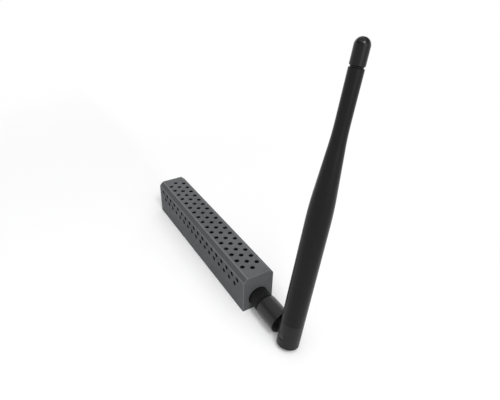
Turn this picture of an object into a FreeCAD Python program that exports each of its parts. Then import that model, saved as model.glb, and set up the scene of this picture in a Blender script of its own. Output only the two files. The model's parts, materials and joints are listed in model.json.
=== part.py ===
import FreeCAD, Part
import Sketcher
import math
import os

# A slim vented gateway box with a network socket at one end and a hinged whip aerial at the other.
# Frame: +Z up, X across the box, +Y towards the network socket; the origin is the middle of the
# box's underside. Lengths are in millimetres, angles in degrees.

doc = FreeCAD.newDocument("gateway")

# Driving dimensions
SIZES = [
    # Housing
    ("body_width", 21.0),
    ("body_height", 25.4),
    ("body_length", 128.0),
    ("wall", 1.8),
    ("end_wall", 2.0),
    ("top_chamfer", 2.7),
    ("edge_round", 0.35),
    ("cover_thickness", 2.0),
    ("cover_gap", 0.1),
    # Ventilation holes
    ("vent_diameter", 3.0),
    ("vent_pitch", 6.67),
    ("vent_margin", 6.5),
    ("vent_top_spacing", 5.07),
    ("vent_side_drop", 5.55),
    ("vent_side_spacing", 4.89),
    # Screws and what they go into
    ("screw_diameter", 1.6),
    ("screw_gap", 0.03),
    ("screw_head_diameter", 3.0),
    ("screw_head_height", 0.9),
    ("cover_screw_length", 4.5),
    ("board_screw_length", 4.5),
    ("post_width", 3.8),
    ("near_post_top", 10.0),
    ("boss_width", 4.4),
    ("boss_length", 4.6),
    ("boss_height", 4.2),
    # Circuit board
    ("board_thickness", 1.2),
    ("jack_headroom", 0.1),
    ("board_gap", 0.2),
    ("board_near_space", 18.0),
    ("board_hole_inset", 4.0),
    ("far_boss_space", 5.0),
    # Network socket
    ("jack_width", 16.0),
    ("jack_height", 13.4),
    ("jack_depth", 21.3),
    ("jack_sheet", 0.3),
    ("jack_setback", 0.2),
    ("jack_gap", 0.2),
    ("plug_floor", 3.2),
    ("plug_width", 11.8),
    ("plug_height", 6.9),
    ("plug_depth", 13.0),
    ("latch_width", 6.4),
    ("latch_drop", 1.8),
    ("contact_count", 8.0),
    ("contact_pitch", 1.02),
    ("contact_width", 0.4),
    ("contact_sag", 2.2),
    ("contact_start", 3.0),
    # Power socket
    ("usb_width", 8.94),
    ("usb_height", 3.16),
    ("usb_depth", 7.35),
    ("usb_sheet", 0.3),
    ("usb_gap", 0.25),
    ("usb_tongue_width", 6.7),
    ("usb_tongue_thickness", 0.7),
    ("usb_tongue_setback", 1.0),
    ("usb_back", 1.2),
    # Aerial socket in the near wall
    ("axis_height", 8.5),
    ("thread_diameter", 6.35),
    ("thread_gap", 0.05),
    ("jack_reach", 7.5),
    ("jack_flats", 8.0),
    ("jack_flange", 2.2),
    ("jack_rear_radius", 2.6),
    ("jack_rear_length", 3.8),
    ("ferrule_radius", 1.6),
    ("ferrule_length", 4.0),
    ("mating_depth", 1.9),
    ("mating_radius", 2.3),
    ("insulator_radius", 2.05),
    ("contact_radius", 0.64),
    ("pin_radius", 0.46),
    ("pin_reach", 2.2),
    ("fit_gap", 0.03),
    ("washer_thickness", 0.5),
    ("washer_radius", 4.8),
    ("nut_thickness", 2.0),
    # Coupling ring and the plug that it holds
    ("grip_radius", 6.45),
    ("grip_standoff", 0.4),
    ("grip_end", 8.8),
    ("grip_recess", 5.1),
    ("grip_bevel", 0.4),
    ("grip_well_gap", 0.08),
    ("grip_well_depth", 0.8),
    ("knurl_count", 36.0),
    ("knurl_depth", 0.38),
    ("knurl_flat", 0.2),
    ("coupling_start", 3.0),
    ("snap_ring_start", 8.0),
    ("snap_ring_thickness", 0.4),
    ("snap_ring_reach", 0.2),
    ("plug_neck_radius", 3.0),
    ("barrel_radius", 3.5),
    ("barrel_end", 17.0),
    ("barrel_flange_radius", 4.3),
    ("barrel_flange", 1.2),
    # Elbow
    ("elbow_radius", 6.95),
    ("elbow_seam", 0.4),
    ("elbow_end", 25.2),
    ("elbow_edge", 0.45),
    ("swivel_gap", 0.05),
    ("hinge_reach", 33.4),
    ("tongue_thickness", 5.0),
    ("tongue_radius", 4.6),
    ("tongue_slot", 1.8),
    ("tongue_web", 1.0),
    ("aerial_roll", 11.9),
    ("aerial_tilt", 3.9),
    # Hinge pins
    ("hinge_pin_radius", 1.2),
    ("hinge_head_radius", 1.95),
    ("hinge_head_depth", 1.1),
    ("hinge_head_sink", 0.12),
    ("hinge_head_gap", 0.28),
    ("fork_gap", 0.25),
    ("fork_round", 5.3),
    # Whip
    ("whip_radius", 6.53),
    ("whip_bottom", 7.2),
    ("whip_edge", 0.6),
    ("heel_gap", 0.3),
    ("base_top", 8.2),
    ("spigot_radius", 4.6),
    ("spigot_length", 10.0),
    ("sleeve_wall", 1.6),
    ("taper_start", 77.0),
    ("taper_end", 114.7),
    ("taper_round_low", 7.8),
    ("taper_round_high", 6.3),
    ("tip_radius", 3.73),
    ("tip_length", 157.7),
    ("tip_cap_height", 13.1),
    ("tip_cap_bevel", 0.45),
    ("groove_width", 0.7),
    ("groove_radius", 3.15),
    ("tip_spigot", 6.0),
    # Cable and aerial wire inside
    ("pigtail_diameter", 1.13),
    ("pigtail_bend", 5.0),
    ("pigtail_lead", 2.0),
    ("pigtail_socket_side", 2.6),
    ("pigtail_socket_height", 0.6),
    ("pigtail_plug_radius", 1.2),
    ("pigtail_plug_wall", 0.35),
    ("pigtail_plug_gap", 0.5),
    ("feed_radius", 0.7),
    ("feed_start", 1.0),
    ("feed_stop", 2.0),
    ("ground_tube_radius", 2.5),
    ("ground_tube_wall", 0.4),
    ("ground_tube_start", 30.0),
    ("ground_tube_length", 30.0),
    ("radiator_radius", 0.6),
    ("radiator_length", 30.0),
    # Parts on the board, each across, along and high
    ("module_start", 10.0),
    ("module_space", 1.5),
    ("radio_width", 14.0),
    ("radio_length", 18.0),
    ("processor_width", 14.0),
    ("processor_length", 23.0),
    ("module_board", 0.8),
    ("shield_margin", 0.7),
    ("shield_height", 2.2),
    ("module_bare_end", 5.0),
    ("ethernet_chip_side", 5.0),
    ("ethernet_chip_height", 0.9),
    ("ethernet_chip_space", 17.0),
    ("regulator_width", 6.5),
    ("regulator_length", 3.5),
    ("regulator_height", 1.7),
    ("regulator_space", 10.5),
    ("regulator_across", 4.2),
    ("capacitor_radius", 2.5),
    ("capacitor_height", 5.4),
    ("capacitor_space", 10.5),
    ("capacitor_across", 4.5),
    ("crystal_width", 2.5),
    ("crystal_length", 3.2),
    ("crystal_height", 0.8),
    ("crystal_across", 5.0),
    # How far a cut runs past the face that it opens
    ("cut_past", 1.0),
]

size = dict(SIZES)
sheet = doc.addObject("Spreadsheet::Sheet", "Sizes")
for row, (alias, number) in enumerate(SIZES, start=1):
    sheet.set(f"A{row}", alias)
    sheet.set(f"B{row}", str(number))
    sheet.setAlias(f"B{row}", alias)
doc.recompute()

# Places that several pieces share, worked out from the sizes
HALF_WIDTH = "Sizes.body_width / 2"
HALF_LENGTH = "Sizes.body_length / 2"
INNER_HALF_WIDTH = f"({HALF_WIDTH} - Sizes.wall)"
INNER_HALF_LENGTH = f"({HALF_LENGTH} - Sizes.end_wall)"
INNER_CHAMFER = "(Sizes.top_chamfer - (2 - sqrt(2)) * Sizes.wall)"
CEILING = "(Sizes.body_height - Sizes.wall)"
POST_X = f"({INNER_HALF_WIDTH} - Sizes.post_width / 2)"
POST_Y = f"({INNER_HALF_LENGTH} - Sizes.post_width / 2)"

# The network socket's top corners stay clear of the chamfers inside, and the board hangs under it
JACK_CORNER_DROP = f"max(0; Sizes.jack_width / 2 - {INNER_HALF_WIDTH} + {INNER_CHAMFER})"
BOARD_TOP = f"({CEILING} - {JACK_CORNER_DROP} - Sizes.jack_headroom - Sizes.jack_height)"
BOARD_BOTTOM = f"({BOARD_TOP} - Sizes.board_thickness)"

BOARD_NEAR = f"(Sizes.board_near_space - {INNER_HALF_LENGTH})"
BOARD_FAR = f"({INNER_HALF_LENGTH} - Sizes.board_gap)"
BOARD_HALF_WIDTH = f"({INNER_HALF_WIDTH} - Sizes.board_gap)"
BOSS_X = f"({INNER_HALF_WIDTH} - Sizes.boss_width / 2)"
JACK_FRONT = f"({HALF_LENGTH} - Sizes.jack_setback)"
JACK_BACK = f"({JACK_FRONT} - Sizes.jack_depth)"
NEAR_BOSS_Y = f"({BOARD_NEAR} + Sizes.board_hole_inset)"
FAR_BOSS_Y = f"({JACK_BACK} - Sizes.far_boss_space)"
USB_HEIGHT = f"({BOARD_BOTTOM} - Sizes.usb_height / 2)"
VENT_HIGH = "(Sizes.body_height - Sizes.vent_side_drop)"
VENT_LOW = f"({VENT_HIGH} - Sizes.vent_side_spacing)"
VENT_COUNT = "(floor((Sizes.body_length - 2 * Sizes.vent_margin) / Sizes.vent_pitch) + 1)"
BORE_BACK = "(0 - Sizes.end_wall - Sizes.jack_flange)"
MATING_PLANE = "(Sizes.jack_reach - Sizes.mating_depth)"
ELBOW_START = "(Sizes.grip_end + Sizes.elbow_seam)"
FLANGE_END = "(Sizes.barrel_end + Sizes.barrel_flange)"
CHEEK = "(Sizes.tongue_thickness / 2)"
FORK_HALF = f"({CHEEK} + Sizes.fork_gap)"
HEEL_RADIUS = "(Sizes.hinge_reach - Sizes.elbow_end - Sizes.heel_gap)"
HEAD_OUT = "(Sizes.whip_radius - Sizes.hinge_head_sink)"
HEAD_IN = f"({HEAD_OUT} - Sizes.hinge_head_depth)"
GROOVE_START = "(Sizes.tip_length - Sizes.tip_cap_height)"
GROUND_TUBE_END = "(Sizes.ground_tube_start + Sizes.ground_tube_length)"
PILOT_RADIUS = "Sizes.screw_diameter / 2 + Sizes.screw_gap"
CLEAR_RADIUS = "Sizes.screw_diameter / 2 + 2 * Sizes.screw_gap"

# The two sides of what is the same on the left and the right
SIDES = (("Left", "0 - "), ("Right", ""))

# How closely an edge is looked for by its place
TOLERANCE = 0.01

# The connector points out of the near wall; the elbow turns on it and the whip leans on the elbow
CONNECTOR = (f"placement(vector(0; 0 - {HALF_LENGTH}; Sizes.axis_height); "
             "rotation(vector(1; 0; 0); 90))")
TURNED = (f"placement(vector(0; 0 - {HALF_LENGTH}; Sizes.axis_height); "
          "rotation(vector(0; 1; 0); Sizes.aerial_roll))")
ELBOW = f"{TURNED} * placement(vector(0; 0; 0); rotation(vector(1; 0; 0); 90))"
WHIP = (f"{TURNED} * placement(vector(0; 0 - Sizes.hinge_reach; 0); "
        "rotation(vector(1; 0; 0); 0 - Sizes.aerial_tilt))")

sub_parts = []


def upright(x, y, z):
    """A placement that shifts without a turn."""
    return f"placement(vector({x}; {y}; {z}); rotation(vector(0; 0; 1); 0))"


def new_body(label, placement=None):
    """An empty sub-part; its label is also the name of its file."""
    body = doc.addObject("PartDesign::Body", label)
    body.Label = label
    body.AllowCompound = True
    if placement:
        body.setExpression("Placement", placement)
    sub_parts.append(body)
    return body


def origin_feature(body, role):
    return next(feature for feature in body.Origin.OriginFeatures if feature.Role == role)


def new_sketch(body, role, name, lift=None):
    """A sketch on one of the body's origin planes, lifted along that plane's normal."""
    sketch = body.newObject("Sketcher::SketchObject", name)
    sketch.AttachmentSupport = [(origin_feature(body, role), "")]
    sketch.MapMode = "FlatFace"
    if lift:
        sketch.setExpression("AttachmentOffset.Base.z", lift)
    return sketch


def drive(sketch, constraint, expression):
    """Add a dimension that follows the sheet."""
    index = sketch.addConstraint(constraint)
    sketch.setExpression(f"Constraints[{index}]", expression)


def place_point(sketch, geometry, point, x, y):
    """Hold a point of the sketch at two dimensions, starting from where it was drawn."""
    drawn = sketch.getPoint(geometry, point)
    drive(sketch, Sketcher.Constraint("DistanceX", -1, 1, geometry, point, drawn.x), x)
    drive(sketch, Sketcher.Constraint("DistanceY", -1, 1, geometry, point, drawn.y), y)


def draw_outline(sketch, corners, arcs=None, closed=True):
    """Lines and arcs from corner to corner, each corner held by two dimensions.

    A side is straight unless arcs has its number: there it gives the curve, the numbers of the
    curve's first and last points, and the one of them that its centre is level or upright with.
    """
    arcs = arcs or {}
    turn = FreeCAD.Rotation(FreeCAD.Vector(0, 0, 1), 360 / len(corners))
    points = [FreeCAD.Vector(1, 0, 0)]
    for _ in corners:
        points.append(turn.multVec(points[-1]))
    sides = []
    for number in range(len(corners) if closed else len(corners) - 1):
        if number in arcs:
            curve, first, last, alignment, aligned = arcs[number]
            index = sketch.addGeometry(curve, False)
            sketch.addConstraint(Sketcher.Constraint(alignment, index, 3, index, aligned))
        else:
            first, last = 1, 2
            index = sketch.addGeometry(Part.LineSegment(points[number], points[number + 1]), False)
        sides.append((index, first, last))
    previous_is_arc = closed and len(corners) - 1 in arcs
    for number, (index, first, last) in enumerate(sides):
        if not previous_is_arc:
            place_point(sketch, index, first, *corners[number])
        previous_is_arc = number in arcs
        if previous_is_arc or not (closed or number + 1 < len(sides)):
            place_point(sketch, index, last, *corners[(number + 1) % len(corners)])
    followers = sides[1:] + sides[:1] if closed else sides[1:]
    for (index, _, last), (following, first, _) in zip(sides, followers):
        sketch.addConstraint(Sketcher.Constraint("Coincident", index, last, following, first))


def new_arc(centre, radius, start, end):
    """An arc for a sketch, drawn the way that angles grow."""
    return Part.ArcOfCircle(Part.Circle(centre, FreeCAD.Vector(0, 0, 1), radius), start, end)


def draw_rectangle(sketch, low_x, high_x, low_y, high_y):
    draw_outline(sketch, [(low_x, low_y), (high_x, low_y), (high_x, high_y), (low_x, high_y)])


def draw_circle(sketch, x, y, radius):
    circle = Part.Circle(FreeCAD.Vector(0, 0, 0), FreeCAD.Vector(0, 0, 1), 1.0)
    index = sketch.addGeometry(circle, False)
    place_point(sketch, index, 3, x, y)
    drive(sketch, Sketcher.Constraint("Radius", index, 1.0), radius)


def draw_hexagon(sketch, flats):
    """A hexagon round the origin, measured across its flats."""
    side = f"{flats} / 2"
    low = f"{flats} / (2 * sqrt(3))"
    tip = f"{flats} / sqrt(3)"
    draw_outline(sketch, [
        (side, f"0 - {low}"), (side, low), ("0", tip),
        (f"0 - {side}", low), (f"0 - {side}", f"0 - {low}"), ("0", f"0 - {tip}"),
    ])


def add_feature(body, kind, sketch, length):
    """A pad or pocket that runs the same way to both sides of its sketch."""
    feature = body.newObject(f"PartDesign::{kind}", f"{sketch.Name}{kind}")
    feature.Profile = sketch
    feature.SideType = "Symmetric"
    feature.setExpression("Length", length)
    sketch.Visibility = False
    doc.recompute()
    return feature


def add_pad(body, sketch, length):
    return add_feature(body, "Pad", sketch, length)


def add_pocket(body, sketch, length):
    return add_feature(body, "Pocket", sketch, length)


def span(low, high):
    """Middle and length of a stretch, for a feature that runs both ways from its sketch."""
    return f"({low} + {high}) / 2", f"{high} - ({low})"


def pad_between(body, name, low, high, draw):
    """Pad along Z from one height to another."""
    middle, length = span(low, high)
    sketch = new_sketch(body, "XY_Plane", name, middle)
    draw(sketch)
    return add_pad(body, sketch, length)


def pocket_between(body, name, low, high, draw):
    """Cut along Z from one height to another."""
    middle, length = span(low, high)
    sketch = new_sketch(body, "XY_Plane", name, middle)
    draw(sketch)
    return add_pocket(body, sketch, length)


def turn_profile(body, kind, name, corners, arcs=None):
    """Revolve an outline, given as radius and height, about the body's Z axis."""
    sketch = new_sketch(body, "XZ_Plane", name)
    draw_outline(sketch, corners, arcs)
    feature = body.newObject(f"PartDesign::{kind}", f"{name}{kind}")
    feature.Profile = sketch
    feature.ReferenceAxis = (sketch, ["V_Axis"])
    feature.Angle = 360.0
    sketch.Visibility = False
    doc.recompute()
    return feature


def repeat_along(body, feature, role, count, pitch):
    """Copies of a feature along one of the body's axes."""
    pattern = body.newObject("PartDesign::LinearPattern", f"{feature.Name}Row")
    pattern.Originals = [feature]
    pattern.Direction = (origin_feature(body, role), [""])
    pattern.Mode = "Spacing"
    pattern.setExpression("Offset", pitch)
    pattern.setExpression("Occurrences", count)
    body.Tip = pattern
    doc.recompute()
    return pattern


def repeat_around(body, feature, count):
    """Copies of a feature round the body's Z axis."""
    pattern = body.newObject("PartDesign::PolarPattern", f"{feature.Name}Ring")
    pattern.Originals = [feature]
    pattern.Axis = (origin_feature(body, "Z_Axis"), [""])
    pattern.Angle = 360.0
    pattern.setExpression("Occurrences", count)
    body.Tip = pattern
    doc.recompute()
    return pattern


def edges_where(feature, wanted):
    """Names of the edges whose bounding box passes the test."""
    names = []
    for number, edge in enumerate(feature.Shape.Edges, start=1):
        if wanted(edge):
            names.append(f"Edge{number}")
    return names


def round_edges(body, feature, name, edges, radius):
    fillet = body.newObject("PartDesign::Fillet", name)
    fillet.Base = (feature, edges)
    fillet.setExpression("Radius", radius)
    doc.recompute()
    return fillet


# Housing shell: one moulding, open underneath
def housing_section(half_width, top, chamfer, bottom):
    return [
        (f"0 - {half_width}", bottom), (half_width, bottom),
        (half_width, f"{top} - {chamfer}"), (f"{half_width} - {chamfer}", top),
        (f"{chamfer} - {half_width}", top), (f"0 - {half_width}", f"{top} - {chamfer}"),
    ]


def cut_vents(shell):
    """Staggered rows of round holes: three along the top and two along each side."""
    first = f"0 - ({VENT_COUNT} - 1) * Sizes.vent_pitch / 2"
    second = f"0 - ({VENT_COUNT} - 2) * Sizes.vent_pitch / 2"
    radius = "Sizes.vent_diameter / 2"
    top_middle = new_sketch(shell, "XY_Plane", "TopMiddleVent", "Sizes.body_height")
    draw_circle(top_middle, "0", first, radius)
    top_outer = new_sketch(shell, "XY_Plane", "TopOuterVents", "Sizes.body_height")
    draw_circle(top_outer, "Sizes.vent_top_spacing", second, radius)
    draw_circle(top_outer, "0 - Sizes.vent_top_spacing", second, radius)
    side_high = new_sketch(shell, "YZ_Plane", "SideHighVent")
    draw_circle(side_high, first, VENT_HIGH, radius)
    side_low = new_sketch(shell, "YZ_Plane", "SideLowVent")
    draw_circle(side_low, second, VENT_LOW, radius)
    through_top = "2 * Sizes.wall + Sizes.cut_past"
    through_sides = "Sizes.body_width + Sizes.cut_past"
    fewer = f"{VENT_COUNT} - 1"
    rows = [
        (top_middle, through_top, VENT_COUNT), (top_outer, through_top, fewer),
        (side_high, through_sides, VENT_COUNT), (side_low, through_sides, fewer),
    ]
    for sketch, depth, count in rows:
        hole = add_pocket(shell, sketch, depth)
        repeat_along(shell, hole, "Y_Axis", count, "Sizes.vent_pitch")


def make_housing_shell():
    shell = new_body("housing_shell")
    outside = new_sketch(shell, "XZ_Plane", "Outside")
    draw_outline(outside, housing_section(HALF_WIDTH, "Sizes.body_height", "Sizes.top_chamfer", "0"))
    block = add_pad(shell, outside, "Sizes.body_length")
    seen_edges = edges_where(block, lambda edge: edge.BoundBox.ZMax > TOLERANCE)
    round_edges(shell, block, "OuterEdges", seen_edges, "Sizes.edge_round")
    inside = new_sketch(shell, "XZ_Plane", "Inside")
    draw_outline(inside, housing_section(INNER_HALF_WIDTH, CEILING, INNER_CHAMFER, "0 - Sizes.cut_past"))
    add_pocket(shell, inside, f"2 * {INNER_HALF_LENGTH}")

    # Corner posts that take the cover's screws; the far pair also stops below the board
    far_top = f"({BOARD_BOTTOM} - Sizes.board_gap)"
    post_x = f"({INNER_HALF_WIDTH} - Sizes.post_width)"
    post_y = f"({INNER_HALF_LENGTH} - Sizes.post_width)"
    into_side = f"({INNER_HALF_WIDTH} + Sizes.wall / 2)"
    into_end = f"({INNER_HALF_LENGTH} + Sizes.end_wall / 2)"
    for name, along, top in (("Near", "0 - ", "Sizes.near_post_top"), ("Far", "", far_top)):
        for side, across in SIDES:
            pad_between(shell, f"{name}{side}Post", "Sizes.cover_thickness", top,
                        lambda sketch: draw_rectangle(sketch, f"{across}{post_x}", f"{across}{into_side}",
                                                      f"{along}{post_y}", f"{along}{into_end}"))
            pocket_between(shell, f"{name}{side}Pilot", "(Sizes.cover_thickness - Sizes.cut_past)",
                           "(Sizes.cover_screw_length + Sizes.board_gap)",
                           lambda sketch: draw_circle(sketch, f"{across}{POST_X}", f"{along}{POST_Y}",
                                                      PILOT_RADIUS))

    # Blocks on the side walls that the board is screwed up against
    boss_x = f"({INNER_HALF_WIDTH} - Sizes.boss_width)"
    for name, place_y in (("Near", NEAR_BOSS_Y), ("Far", FAR_BOSS_Y)):
        for side, across in SIDES:
            pad_between(shell, f"{name}{side}Boss", BOARD_TOP, f"({BOARD_TOP} + Sizes.boss_height)",
                        lambda sketch: draw_rectangle(sketch, f"{across}{boss_x}", f"{across}{into_side}",
                                                      f"{place_y} - Sizes.boss_length / 2",
                                                      f"{place_y} + Sizes.boss_length / 2"))
            pocket_between(shell, f"{name}{side}BossPilot", f"({BOARD_TOP} - Sizes.cut_past)",
                           f"({BOARD_BOTTOM} + Sizes.board_screw_length + Sizes.board_gap)",
                           lambda sketch: draw_circle(sketch, f"{across}{BOSS_X}", place_y, PILOT_RADIUS))

    # Windows in the far wall for the two sockets, and the hole in the near wall for the aerial's
    wall_middle = f"{HALF_LENGTH} - Sizes.end_wall / 2"
    through_wall = "Sizes.end_wall + Sizes.cut_past"
    window_half = "(Sizes.jack_width / 2 + Sizes.jack_gap)"
    window = new_sketch(shell, "XZ_Plane", "JackWindow", f"0 - ({wall_middle})")
    draw_rectangle(window, f"0 - {window_half}", window_half,
                   f"{BOARD_TOP} - Sizes.jack_gap", f"{BOARD_TOP} + Sizes.jack_height + Sizes.jack_gap")
    add_pocket(shell, window, through_wall)
    usb_radius = "(Sizes.usb_height / 2 + Sizes.usb_gap)"
    usb_reach = "(Sizes.usb_width - Sizes.usb_height) / 2"
    slot = new_sketch(shell, "XZ_Plane", "UsbWindow", f"0 - ({wall_middle})")
    draw_rectangle(slot, f"0 - {usb_reach}", usb_reach,
                   f"{USB_HEIGHT} - {usb_radius}", f"{USB_HEIGHT} + {usb_radius}")
    add_pocket(shell, slot, through_wall)
    for side, across in SIDES:
        end = new_sketch(shell, "XZ_Plane", f"UsbWindow{side}End", f"0 - ({wall_middle})")
        draw_circle(end, f"{across}{usb_reach}", USB_HEIGHT, usb_radius)
        add_pocket(shell, end, through_wall)
    aerial_hole = new_sketch(shell, "XZ_Plane", "AerialHole", wall_middle)
    draw_circle(aerial_hole, "0", "Sizes.axis_height", "Sizes.thread_diameter / 2 + Sizes.thread_gap")
    add_pocket(shell, aerial_hole, through_wall)

    # A round well in the near wall, which the rear of the coupling ring stands over
    well = new_sketch(shell, "XZ_Plane", "GripWell", HALF_LENGTH)
    draw_circle(well, "0", "Sizes.axis_height", "Sizes.grip_recess")
    draw_circle(well, "0", "Sizes.axis_height", "Sizes.grip_radius + Sizes.grip_well_gap")
    add_pocket(shell, well, "2 * Sizes.grip_well_depth")
    cut_vents(shell)


def screw_places(x, near_y, far_y):
    """The four places of a screw pattern that is the same on the left and the right."""
    return [
        ("NearLeft", f"0 - {x}", near_y), ("NearRight", x, near_y),
        ("FarLeft", f"0 - {x}", far_y), ("FarRight", x, far_y),
    ]


COVER_SCREWS = screw_places(POST_X, f"(0 - {POST_Y})", POST_Y)
BOARD_SCREWS = screw_places(BOSS_X, NEAR_BOSS_Y, FAR_BOSS_Y)


# Bottom cover: a plate that drops between the walls and screws to the corner posts
def make_bottom_cover():
    cover = new_body("bottom_cover")
    edge_x = f"({INNER_HALF_WIDTH} - Sizes.cover_gap)"
    edge_y = f"({INNER_HALF_LENGTH} - Sizes.cover_gap)"
    pad_between(cover, "Plate", "0", "Sizes.cover_thickness",
                lambda sketch: draw_rectangle(sketch, f"0 - {edge_x}", edge_x, f"0 - {edge_y}", edge_y))
    for name, x, y in COVER_SCREWS:
        hole = cover.newObject("PartDesign::SubtractiveCylinder", f"Clear{name}")
        hole.setExpression("Radius", CLEAR_RADIUS)
        hole.setExpression("Height", "Sizes.cover_thickness + 2 * Sizes.cut_past")
        hole.setExpression("Placement", upright(x, y, "0 - Sizes.cut_past"))
        sink = cover.newObject("PartDesign::SubtractiveCone", f"Sink{name}")
        sink.setExpression("Radius1", "Sizes.screw_head_diameter / 2 + Sizes.screw_gap")
        sink.setExpression("Radius2", PILOT_RADIUS)
        sink.setExpression("Height", "Sizes.screw_head_height + Sizes.screw_gap")
        sink.setExpression("Placement", upright(x, y, "0"))
    doc.recompute()


def compound_of(label, pieces):
    """Several like solids as one sub-part."""
    group = doc.addObject("Part::Compound", label)
    group.Label = label
    group.Links = pieces
    sub_parts.append(group)
    return group


def place(item, x, y, z):
    item.setExpression("Placement", upright(x, y, z))
    return item


def new_cylinder(name, radius, height, x, y, z):
    cylinder = doc.addObject("Part::Cylinder", name)
    cylinder.setExpression("Radius", radius)
    cylinder.setExpression("Height", height)
    return place(cylinder, x, y, z)


def fuse_of(name, pieces):
    fuse = doc.addObject("Part::MultiFuse", name)
    fuse.Shapes = pieces
    return fuse


def make_cover_screws():
    """Countersunk screws, heads just inside the underside."""
    screws = []
    for name, x, y in COVER_SCREWS:
        head = doc.addObject("Part::Cone", f"CoverScrewHead{name}")
        head.setExpression("Radius1", "Sizes.screw_head_diameter / 2")
        head.setExpression("Radius2", "Sizes.screw_diameter / 2")
        head.setExpression("Height", "Sizes.screw_head_height")
        place(head, x, y, "Sizes.screw_gap")
        shank = new_cylinder(f"CoverScrewShank{name}", "Sizes.screw_diameter / 2",
                             "Sizes.cover_screw_length - Sizes.screw_gap", x, y, "Sizes.screw_gap")
        screws.append(fuse_of(f"CoverScrew{name}", [head, shank]))
    compound_of("cover_screws", screws)


def make_board_screws():
    """Pan head screws, driven up through the board into the side blocks."""
    screws = []
    for name, x, y in BOARD_SCREWS:
        head = new_cylinder(f"BoardScrewHead{name}", "Sizes.screw_head_diameter / 2",
                            "Sizes.screw_head_height", x, y, f"{BOARD_BOTTOM} - Sizes.screw_head_height")
        shank = new_cylinder(f"BoardScrewShank{name}", "Sizes.screw_diameter / 2",
                             "Sizes.board_screw_length", x, y, BOARD_BOTTOM)
        screws.append(fuse_of(f"BoardScrew{name}", [head, shank]))
    compound_of("board_screws", screws)


def make_main_board():
    board = new_body("main_board")

    def draw(sketch):
        draw_rectangle(sketch, f"0 - {BOARD_HALF_WIDTH}", BOARD_HALF_WIDTH, BOARD_NEAR, BOARD_FAR)
        for _, x, y in BOARD_SCREWS:
            draw_circle(sketch, x, y, CLEAR_RADIUS)

    pad_between(board, "BoardOutline", BOARD_BOTTOM, BOARD_TOP, draw)


# Network socket: a folded shield, the moulding inside it and eight contacts
def make_ethernet_jack():
    shield = new_body("ethernet_jack_shell")
    outer_half = "Sizes.jack_width / 2"
    inner_half = "(Sizes.jack_width / 2 - Sizes.jack_sheet)"
    top = f"({BOARD_TOP} + Sizes.jack_height)"
    middle, length = span(JACK_BACK, JACK_FRONT)
    box = new_sketch(shield, "XZ_Plane", "ShieldOutside", f"0 - ({middle})")
    draw_rectangle(box, f"0 - {outer_half}", outer_half, BOARD_TOP, top)
    add_pad(shield, box, length)
    hollow_middle, hollow_length = span(f"({JACK_BACK} + Sizes.jack_sheet)",
                                        f"({JACK_FRONT} + Sizes.cut_past)")
    hollow = new_sketch(shield, "XZ_Plane", "ShieldInside", f"0 - ({hollow_middle})")
    draw_rectangle(hollow, f"0 - {inner_half}", inner_half,
                   f"{BOARD_TOP} - Sizes.cut_past", f"{top} - Sizes.jack_sheet")
    add_pocket(shield, hollow, hollow_length)

    insert = new_body("ethernet_jack_insert")
    insert_half = f"({inner_half} - Sizes.fit_gap)"
    insert_back = f"({JACK_BACK} + Sizes.jack_sheet + Sizes.fit_gap)"
    insert_middle, insert_length = span(insert_back, f"({JACK_FRONT} - Sizes.jack_sheet)")
    block = new_sketch(insert, "XZ_Plane", "InsertOutside", f"0 - ({insert_middle})")
    draw_rectangle(block, f"0 - {insert_half}", insert_half,
                   BOARD_TOP, f"{top} - Sizes.jack_sheet - Sizes.fit_gap")
    add_pad(insert, block, insert_length)
    floor = f"({BOARD_TOP} + Sizes.plug_floor)"
    ceiling = f"({floor} + Sizes.plug_height)"
    cavity_back = f"({JACK_FRONT} - Sizes.plug_depth)"
    cavity_middle, cavity_length = span(cavity_back, f"({JACK_FRONT} + Sizes.cut_past)")
    cavity = new_sketch(insert, "XZ_Plane", "PlugCavity", f"0 - ({cavity_middle})")
    half = "Sizes.plug_width / 2"
    latch = "Sizes.latch_width / 2"
    draw_outline(cavity, [
        (f"0 - {half}", floor), (f"0 - {latch}", floor), (f"0 - {latch}", f"{floor} - Sizes.latch_drop"),
        (latch, f"{floor} - Sizes.latch_drop"), (latch, floor), (half, floor),
        (half, ceiling), (f"0 - {half}", ceiling),
    ])
    add_pocket(insert, cavity, cavity_length)

    contacts = new_body("ethernet_jack_contacts")
    first = "(0 - (Sizes.contact_count - 1) * Sizes.contact_pitch / 2)"
    wire = new_sketch(contacts, "YZ_Plane", "ContactWire", first)
    front = f"({JACK_FRONT} - Sizes.contact_start)"
    draw_outline(wire, [
        (cavity_back, f"{ceiling} - Sizes.contact_sag"), (front, f"{ceiling} - Sizes.contact_width"),
        (front, ceiling), (cavity_back, f"{ceiling} - Sizes.contact_sag + Sizes.contact_width"),
    ])
    strip = add_pad(contacts, wire, "Sizes.contact_width")
    repeat_along(contacts, strip, "X_Axis", "Sizes.contact_count", "Sizes.contact_pitch")


# Power socket: hung under the board, its mouth in the far wall
def stadium(name, width, height, length, back):
    """A solid with a stadium section along Y, from its back face."""
    radius = f"({height}) / 2"
    reach = f"(({width}) - ({height})) / 2"
    pieces = []
    core = doc.addObject("Part::Box", f"{name}Core")
    core.setExpression("Length", f"2 * {reach}")
    core.setExpression("Width", length)
    core.setExpression("Height", height)
    pieces.append(place(core, f"0 - {reach}", back, f"{USB_HEIGHT} - {radius}"))
    for side, across in SIDES:
        end = doc.addObject("Part::Cylinder", f"{name}{side}")
        end.setExpression("Radius", radius)
        end.setExpression("Height", length)
        end.setExpression("Placement", f"placement(vector({across}{reach}; {back}; {USB_HEIGHT}); "
                                       "rotation(vector(1; 0; 0); 0 - 90))")
        pieces.append(end)
    return fuse_of(name, pieces)


def cut_of(label, base, tool):
    cut = doc.addObject("Part::Cut", label)
    cut.Label = label
    cut.Base = base
    cut.Tool = tool
    sub_parts.append(cut)
    return cut


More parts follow.
